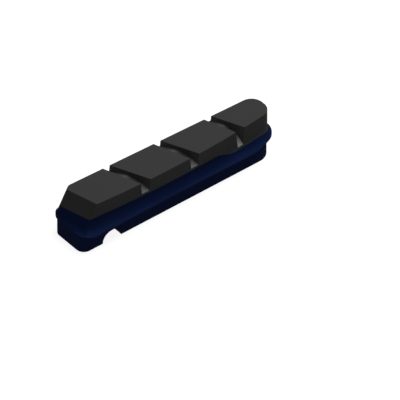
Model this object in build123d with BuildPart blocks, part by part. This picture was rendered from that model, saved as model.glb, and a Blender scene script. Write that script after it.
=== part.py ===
# Brake pad insert for a bicycle rim brake: a black friction block moulded onto a blue backing rail.
# Millimetres. +X runs from the square end to the round end, +Z from the back face to the braking face.
# The origin is on the back face, at the square end, half-way across the rail.
import os
from math import atan2, cos, degrees, radians, sin, sqrt, tan

from build123d import *

# Rail that slides into the brake shoe: one side runs along X, the other is tapered so that the rail wedges
rail_length = 52.2
rail_width = 10.0
rail_height = 3.2
rail_corner_radius = 2.0
side_taper = 2.1
tip_flat = 0.4

# Notch across the back of the rail, for the shoe's retaining screw
notch_start = 5.55
notch_width = 5.0
notch_depth = 2.5

# Flange that closes the mouth of the shoe: a thin lip, sloped underneath and hollowed to a cove on top.
# Its near side is trimmed at a slant towards the round end, to clear the end of the shoe.
flange_reach = 1.25
flange_tip = 53.95
flange_trim_length = 6.95
flange_trim_angle = 21.0
flange_trim_radius = 8.0
flange_tip_radius = 4.3
flange_corner_radius = 3.0
flange_rise = 0.9
lip_height = 0.3
cove_radius = 2.25

# Wall of the block above the flange: its near side follows the rim, its far side follows the rail's taper
total_height = 10.85
wall_inset_near = 0.13
wall_inset_far = 0.25
wall_inset_tip = 0.95
rim_curve_radius = 250.0
rim_curve_middle = 25.5

# Bevelled leading end of the block
bevel_start = 3.75
bevel_lean = 27.5
bevel_slant = 14.5
bevel_far_radius = 1.25

# Parting surface between the two compounds: high at the square end, with one smooth step down
parting_high = 7.3
parting_low = 5.75
parting_step_start = 36.0
parting_step_length = 6.0

# Water slots across the braking face, slanted, drafted and wider at the near side, with a crowned floor
# that runs down at the near side to just above the parting surface
slot_count = 3
slot_first = 15.55
slot_pitch = 13.2
slot_width = 2.15
slot_slant = 21.7
slot_flare = 2.2
slot_draft = 6.0
slot_cover = 0.6
slot_depth_crown = 0.95
slot_depth_far = 1.9
slot_crown = 1.2

# How far the cutting shapes run past the material
clear = 4.0

near_side = -rail_width / 2
far_side = rail_width / 2
wall_tip = flange_tip - wall_inset_tip
flange_trim_start = flange_tip - flange_trim_length
lip_bottom = rail_height + flange_rise
lip_top = lip_bottom + lip_height


def far_at(x, y_at_square_end):
    """Place of a tapered far side at a given X."""
    return y_at_square_end - x * tan(radians(side_taper))


def near_wall_at(x):
    """Place of the rim-following near wall at a given X."""
    bulge = rim_curve_radius - sqrt(rim_curve_radius**2 - (x - rim_curve_middle) ** 2)
    return near_side + wall_inset_near + bulge


def bevel_plane():
    """Plane of the bevelled end, its normal out of the block."""
    out = cos(radians(bevel_lean))
    normal = (-out * cos(radians(bevel_slant)), -out * sin(radians(bevel_slant)), sin(radians(bevel_lean)))
    return Plane(origin=(bevel_start, 0, total_height), z_dir=normal)


# Outer form shared by both compounds, from the flange's ledge to the braking face
with BuildPart() as moulded_form:
    wall_far = far_side - wall_inset_far
    wall_tip_width = far_at(wall_tip, wall_far) - near_wall_at(wall_tip)
    with BuildSketch(Plane.XY.offset(lip_bottom)) as wall_outline:
        with BuildLine():
            ThreePointArc(
                (-clear, near_wall_at(-clear)),
                (rim_curve_middle, near_wall_at(rim_curve_middle)),
                (wall_tip, near_wall_at(wall_tip)),
            )
            Polyline(
                (wall_tip, near_wall_at(wall_tip)),
                (wall_tip, far_at(wall_tip, wall_far)),
                (-clear, far_at(-clear, wall_far)),
                (-clear, near_wall_at(-clear)),
            )
        make_face()
        fillet(wall_outline.vertices().group_by(Axis.X)[-1], (wall_tip_width - tip_flat) / 2)
    extrude(amount=total_height - lip_bottom)
    split(bisect_by=bevel_plane(), keep=Keep.BOTTOM)
    bevel_face = moulded_form.faces().sort_by(Axis((0, 0, 0), tuple(bevel_plane().z_dir)))[-1]
    fillet(bevel_face.edges().sort_by(Axis.Y)[-1], bevel_far_radius)
    with BuildSketch(Plane.XY.offset(lip_bottom)):
        plate_spare = 4 * clear
        with Locations((flange_tip / 2, 0)):
            Rectangle(flange_tip + plate_spare, rail_width + plate_spare)
    extrude(amount=lip_height)
    lip_face = moulded_form.faces().filter_by_position(Axis.Z, lip_top, lip_top)[0]
    fillet(lip_face.inner_wires()[0].edges(), cove_radius)
    flange_near = near_side - flange_reach
    flange_far = far_side + flange_reach
    trim_end = flange_near + flange_trim_length * tan(radians(flange_trim_angle))
    tip_near_part = flange_tip_radius * tan(radians(90 - flange_trim_angle) / 2)
    tip_far_part = far_at(flange_tip, flange_far) - trim_end - tip_near_part - tip_flat
    tip_far_radius = tip_far_part / tan(radians(90 - side_taper) / 2)
    with BuildSketch(Plane.XY.offset(lip_bottom)) as flange_outline:
        with BuildLine():
            Polyline(
                (0, flange_near),
                (flange_trim_start, flange_near),
                (flange_tip, trim_end),
                (flange_tip, far_at(flange_tip, flange_far)),
                (0, flange_far),
                close=True,
            )
        make_face()
        fillet(flange_outline.vertices().group_by(Axis.X)[0], flange_corner_radius)
        rounded_corners = (
            ((flange_trim_start, flange_near), flange_trim_radius),
            ((flange_tip, trim_end), flange_tip_radius),
            ((flange_tip, far_at(flange_tip, flange_far)), tip_far_radius),
        )
        for corner, radius in rounded_corners:
            fillet(flange_outline.vertices().sort_by_distance(corner)[0], radius)
    extrude(amount=total_height, mode=Mode.INTERSECT)
    extrude(flange_outline.sketch, amount=-flange_rise, taper=degrees(atan2(flange_reach, flange_rise)))

# Everything under the parting surface
with BuildPart() as under_parting:
    parting_end = parting_step_start + parting_step_length
    with BuildSketch(Plane.XZ):
        with BuildLine():
            Line((-clear, parting_high), (parting_step_start, parting_high))
            Spline(
                (parting_step_start, parting_high),
                (parting_end, parting_low),
                tangents=((1, 0), (1, 0)),
            )
            Polyline(
                (parting_end, parting_low),
                (flange_tip + clear, parting_low),
                (flange_tip + clear, 0),
                (-clear, 0),
                (-clear, parting_high),
            )
        make_face()
    extrude(amount=rail_width, both=True)

# Space above the crowned floor of each slot
with BuildPart() as slot_depths:
    slot_places = [slot_first + number * slot_pitch for number in range(slot_count)]
    for place in slot_places:
        mouth = place - near_side * tan(radians(slot_slant))
        parting = parting_high if mouth < parting_step_start else parting_low
        wall = near_wall_at(mouth)
        with BuildSketch(Plane.YZ.offset(place - slot_pitch / 2)):
            with BuildLine():
                ThreePointArc(
                    (wall, parting + slot_cover),
                    (slot_crown, total_height - slot_depth_crown),
                    (far_side, total_height - slot_depth_far),
                )
                Polyline(
                    (far_side, total_height - slot_depth_far),
                    (far_side, total_height),
                    (near_side, total_height),
                    (near_side, parting + slot_cover),
                    (wall, parting + slot_cover),
                )
            make_face()
        extrude(amount=slot_pitch)

# Water slots, cut down from the braking face as far as their crowned floor
with BuildPart() as water_slots:
    slot_reach = far_side + flange_reach
    edge_left = tan(radians(slot_slant - slot_flare))
    edge_right = tan(radians(slot_slant + slot_flare))
    with BuildSketch(Plane.XY.offset(total_height)):
        with Locations(*[(place, 0) for place in slot_places]):
            Polygon(
                (-slot_width / 2 + slot_reach * edge_left, -slot_reach),
                (slot_width / 2 + slot_reach * edge_right, -slot_reach),
                (slot_width / 2 - slot_reach * edge_right, slot_reach),
                (-slot_width / 2 - slot_reach * edge_left, slot_reach),
                align=None,
            )
    extrude(amount=-(total_height - parting_low), taper=slot_draft)
    add(slot_depths.part, mode=Mode.INTERSECT)

# Black friction block
with BuildPart() as friction_block:
    add(moulded_form.part)
    add(under_parting.part, mode=Mode.SUBTRACT)
    add(water_slots.part, mode=Mode.SUBTRACT)

# Blue backing rail: the rail itself, the flange and the cove, up to the parting surface
with BuildPart() as backing_rail:
    add(moulded_form.part)
    add(under_parting.part, mode=Mode.INTERSECT)
    rail_tip_width = far_at(rail_length, far_side) - near_side
    with BuildSketch() as rail_outline:
        with BuildLine():
            Polyline(
                (0, near_side),
                (rail_length, near_side),
                (rail_length, far_at(rail_length, far_side)),
                (0, far_side),
                close=True,
            )
        make_face()
        fillet(rail_outline.vertices().group_by(Axis.X)[0], rail_corner_radius)
        fillet(rail_outline.vertices().group_by(Axis.X)[-1], (rail_tip_width - tip_flat) / 2)
    extrude(amount=lip_bottom)
    notch_end = notch_start + notch_width
    with BuildSketch(Plane.XZ):
        with BuildLine():
            CenterArc((notch_start + notch_depth, 0), notch_depth, 90, 90)
            Polyline(
                (notch_start + notch_depth, notch_depth),
                (notch_end, notch_depth),
                (notch_end, -clear),
                (notch_start, -clear),
                (notch_start, 0),
            )
        make_face()
    extrude(amount=rail_width, both=True, mode=Mode.SUBTRACT)

friction_block.part.label = "friction_block"
backing_rail.part.label = "backing_rail"
os.makedirs("parts", exist_ok=True)
export_step(friction_block.part, "parts/friction_block.step")
export_step(backing_rail.part, "parts/backing_rail.step")
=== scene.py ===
import math

import bpy
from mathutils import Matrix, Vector


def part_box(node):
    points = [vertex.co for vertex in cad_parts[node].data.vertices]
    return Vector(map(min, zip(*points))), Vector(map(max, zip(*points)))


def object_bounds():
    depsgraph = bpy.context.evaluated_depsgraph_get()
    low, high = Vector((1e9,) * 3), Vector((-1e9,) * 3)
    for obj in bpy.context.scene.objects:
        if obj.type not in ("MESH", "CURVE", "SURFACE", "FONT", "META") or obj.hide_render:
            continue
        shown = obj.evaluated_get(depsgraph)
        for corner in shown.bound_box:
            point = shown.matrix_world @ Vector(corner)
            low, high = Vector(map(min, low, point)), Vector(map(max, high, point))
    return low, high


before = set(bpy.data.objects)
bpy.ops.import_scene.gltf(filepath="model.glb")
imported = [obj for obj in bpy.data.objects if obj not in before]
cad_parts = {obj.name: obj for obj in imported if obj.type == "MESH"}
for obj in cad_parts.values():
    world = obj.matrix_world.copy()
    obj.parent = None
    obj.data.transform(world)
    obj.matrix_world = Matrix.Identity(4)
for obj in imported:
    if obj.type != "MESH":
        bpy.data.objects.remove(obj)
cad_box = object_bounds()


# Backing rail: the blue carrier that slides into the brake shoe, with its flange, cove and screw notch.
# A firm rubber compound with a dull satin skin, moulded in one piece,
# so its finish is a fine mould grain over slow, cloudy changes of the blue.
class Value:
    """A shader socket that takes Python's operators, each of which adds a Math node."""

    def __init__(self, tree, socket):
        self.tree = tree
        self.socket = socket

    def node(self, kind, settings=None, out=0, **inputs):
        """Adds a node of that kind, with its settings and then the values or links of its sockets.

        A socket is given by its name, with _ for a space, or by its number, as in i6.
        """
        made = self.tree.nodes.new(kind)
        for name, setting in (settings or {}).items():
            setattr(made, name, setting)
        for name, given in inputs.items():
            key = int(name[1:]) if name[1:].isdigit() else name.replace("_", " ")
            if isinstance(given, Value):
                self.tree.links.new(given.socket, made.inputs[key])
            else:
                made.inputs[key].default_value = given
        return Value(self.tree, made.outputs[out])

    def maths(self, operation, first, second=0.0):
        return self.node("ShaderNodeMath", {"operation": operation}, i0=first, i1=second)

    def __add__(self, other):
        return self.maths("ADD", self, other)

    def __radd__(self, other):
        return self.maths("ADD", other, self)

    def __sub__(self, other):
        return self.maths("SUBTRACT", self, other)

    def __rsub__(self, other):
        return self.maths("SUBTRACT", other, self)

    def __mul__(self, other):
        return self.maths("MULTIPLY", self, other)

    def __rmul__(self, other):
        return self.maths("MULTIPLY", other, self)

    def __gt__(self, other):
        return self.maths("GREATER_THAN", self, other)

    def __lt__(self, other):
        return self.maths("LESS_THAN", self, other)


def new_finish(name):
    """A material, its shader, and the value that stands for places on the piece, in metres."""
    finish = bpy.data.materials.new(name)
    finish.use_nodes = True
    tree = finish.node_tree
    places = tree.nodes.new("ShaderNodeTexCoord")
    return finish, tree.nodes["Principled BSDF"], Value(tree, places.outputs["Object"])


def feed(shader, **inputs):
    """Links values to the shader's sockets, or sets them where they are plain numbers."""
    for name, given in inputs.items():
        socket = shader.inputs[name.replace("_", " ")]
        if isinstance(given, Value):
            given.tree.links.new(given.socket, socket)
        else:
            socket.default_value = given


def tone(share, low, high):
    """A colour between low and high, by a share from 0 to 1."""
    return share.node("ShaderNodeMix", {"data_type": "RGBA"}, out=2, i0=share, i6=low, i7=high)


cloud_scale = 160.0
cloud_detail = 3.0
grain_scale = 5200.0
grain_detail = 2.0
grain_depth = 0.000012
edge_radius = 0.0001
edge_samples = 6


def cloudiness(at):
    """A share that drifts slowly over the piece, as the mixed compound does."""
    return at.node("ShaderNodeTexNoise", Vector=at, Scale=cloud_scale, Detail=cloud_detail)


def rubber_skin(at, grain_strength):
    """Normal of a moulded skin: a fine grain on the surface, and edges that are very slightly rounded."""
    grain = at.node("ShaderNodeTexNoise", Vector=at, Scale=grain_scale, Detail=grain_detail)
    edges = at.node("ShaderNodeBevel", {"samples": edge_samples}, Radius=edge_radius)
    return at.node(
        "ShaderNodeBump",
        Height=grain,
        Distance=grain_depth,
        Strength=grain_strength,
        Normal=edges,
    )


def dress(node, finish):
    """Puts the finish in every material slot of a CAD node."""
    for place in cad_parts[node].material_slots:
        place.material = finish


rail_blue = (0.0030, 0.0060, 0.0240, 1.0)
rail_blue_deep = (0.0020, 0.0044, 0.0195, 1.0)
rail_gloss = 0.02
rail_gloss_tint = (0.1, 0.3, 1.0, 1.0)
rail_roughness = 0.48
rail_grain_strength = 0.5
roughness_drift = 0.12

blue_finish, blue_shader, at = new_finish("moulded_blue_rubber")
clouds = cloudiness(at)
feed(
    blue_shader,
    Base_Color=tone(clouds, rail_blue_deep, rail_blue),
    Roughness=rail_roughness + roughness_drift * clouds,
    Normal=rubber_skin(at, rail_grain_strength),
    Specular_IOR_Level=rail_gloss,
    Specular_Tint=rail_gloss_tint,
)
dress("backing_rail", blue_finish)


# Friction block: the black braking compound, moulded onto the rail and cut by three slanted water slots.
# A hard, dry rubber with a matt skin. Its colour in the slots is painted light and shade: painted light
# on their walls, more towards the far side, on the crown of their floors and most where the floors run
# down to the mouths; painted shade elsewhere on their floors.
def grey(level):
    """A plain grey of that level."""
    return (level, level, level, 1.0)


def ramp(value, start, end):
    """A share that grows from 0 at start to 1 at end, and stays there past them."""
    return value.node("ShaderNodeMapRange", Value=value, From_Min=start, From_Max=end)


block_black = grey(0.0191)
block_black_deep = grey(0.0168)
block_gloss = 0.08
block_roughness = 0.62
block_grain_strength = 0.7
# Painted light and shade in the slots: paler walls, paler floor crowns and mouths, and a floor darker
# than the block elsewhere.
slot_wall_painted_light_near = grey(0.022)
slot_wall_painted_light_far = grey(0.080)
slot_floor_painted_shade = grey(0.014)
slot_floor_painted_light = grey(0.038)
slot_floor_painted_light_deep = grey(0.145)

slot_count = 3
slot_first = 0.01555
slot_pitch = 0.0132
slot_half_width = 0.001075
slot_slope = math.tan(math.radians(21.7))
slot_flare = math.tan(math.radians(2.2))
slot_draft = math.tan(math.radians(6.0))
slot_margin = 0.00004
deepest_slot = 0.0046
floor_tilt = 0.3
mouth_depth = 0.0019
mouth_edge = 0.0003
crown_place = 0.0002
crown_reach = 0.0012
block_low, block_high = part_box("friction_block")
slots_start = -slot_pitch / 2
slots_end = slots_start + slot_count * slot_pitch

black_finish, black_shader, at = new_finish("black_friction_rubber")
clouds = cloudiness(at)
facing = at.node("ShaderNodeNewGeometry", out="Normal")
facing_up = at.node("ShaderNodeSeparateXYZ", out="Z", Vector=facing)
along = at.node("ShaderNodeSeparateXYZ", out="X", Vector=at)
across = at.node("ShaderNodeSeparateXYZ", out="Y", Vector=at)
depth = block_high.z - at.node("ShaderNodeSeparateXYZ", out="Z", Vector=at)

past_first = along + across * slot_slope - slot_first
among_slots = (past_first > slots_start) * (past_first < slots_end)
off_middle = at.maths("PINGPONG", past_first, slot_pitch / 2)
half_width = slot_half_width + slot_margin - across * slot_flare - depth * slot_draft
in_slot = among_slots * (off_middle < half_width) * (depth < deepest_slot)
on_floor = in_slot * (facing_up > floor_tilt)

# Painted light on the floor mouths, deeper ones paler, and on the crown; painted shade on the rest of the
# floor; painted light on the walls, paler towards the far side.
in_mouth = ramp(depth, mouth_depth - mouth_edge, mouth_depth)
on_crown = ramp(at.maths("ABSOLUTE", across - crown_place), crown_reach, 0.0)
floor_painted_light = tone(ramp(depth, mouth_depth, deepest_slot), slot_floor_painted_light, slot_floor_painted_light_deep)
painted_slot_floor = tone(at.maths("MAXIMUM", in_mouth, on_crown), slot_floor_painted_shade, floor_painted_light)
painted_slot_wall = tone(ramp(across, block_low.y, block_high.y / 2), slot_wall_painted_light_near, slot_wall_painted_light_far)
black = tone(clouds, block_black_deep, block_black)
feed(
    black_shader,
    Base_Color=tone(on_floor, tone(in_slot, black, painted_slot_wall), painted_slot_floor),
    Roughness=block_roughness + roughness_drift * clouds,
    Normal=rubber_skin(at, block_grain_strength),
    Specular_IOR_Level=block_gloss,
)
dress("friction_block", black_finish)

# Floor: a plain white light table that the pad lies on, made as one wide sheet.
# It glows under its skin, so the pad's shadow on it stays faint, and it isn't mirrored in the rubber.
floor_size = 8.0
floor_gap = 0.00002
floor_grey = 0.12
floor_glow = 0.9
bpy.ops.object.select_all(action="DESELECT")
bpy.ops.mesh.primitive_plane_add(size=floor_size, location=(0, 0, -floor_gap))
bpy.ops.object.transform_apply(location=True)
floor = bpy.context.active_object
floor.name = "floor"
floor_finish, floor_shader, _ = new_finish("white_light_table")
feed(
    floor_shader,
    Base_Color=grey(floor_grey),
    Roughness=1.0,
    Specular_IOR_Level=0.0,
    Emission_Color=grey(1.0),
    Emission_Strength=floor_glow,
)
floor.data.materials.append(floor_finish)
floor.visible_glossy = False

# Light: one wide soft lamp overhead, towards the round end, and a faint even sky.
# The upright sides are lit mostly by the floor, so they stay darker than the braking face.
lamp_from = Vector((0.37, 0.0, 0.92)).normalized()
lamp_distance = 0.6
lamp_size = 0.5
lamp_power = 8.0
sky_strength = 0.1
low, high = cad_box
bpy.ops.object.light_add(type="AREA", location=(low + high) / 2 + lamp_distance * lamp_from)
lamp = bpy.context.active_object
lamp.name = "soft_lamp"
lamp.data.size = lamp_size
lamp.data.energy = lamp_power
lamp.rotation_euler = lamp_from.to_track_quat("Z", "Y").to_euler()

sky = bpy.data.worlds.new("studio_sky")
bpy.context.scene.world = sky
sky.use_nodes = True
sky_light = sky.node_tree.nodes["Background"]
sky_light.inputs["Color"].default_value = grey(1.0)
sky_light.inputs["Strength"].default_value = sky_strength

# Camera: a view from above the near left corner, framed as the photograph is.
# The photograph's parallel edges stay very nearly parallel, so the lens is a very long one, far away.
view_azimuth = math.radians(-38.8)
view_elevation = math.radians(40.9)
view_aim = Vector((0.0302, -0.0072, 0.0004))
view_width = 0.0851
view_lens = 1200.0
view_back = Vector(
    (
        math.sin(view_azimuth) * math.cos(view_elevation),
        -math.cos(view_azimuth) * math.cos(view_elevation),
        math.sin(view_elevation),
    )
)
bpy.ops.object.camera_add()
camera = bpy.context.active_object
camera.name = "camera"
camera.data.lens = view_lens
view_distance = view_width * view_lens / camera.data.sensor_width
camera.location = view_aim + view_distance * view_back
camera.rotation_euler = view_back.to_track_quat("Z", "Y").to_euler()
bpy.context.scene.camera = camera
bpy.context.scene.view_settings.view_transform = "Standard"
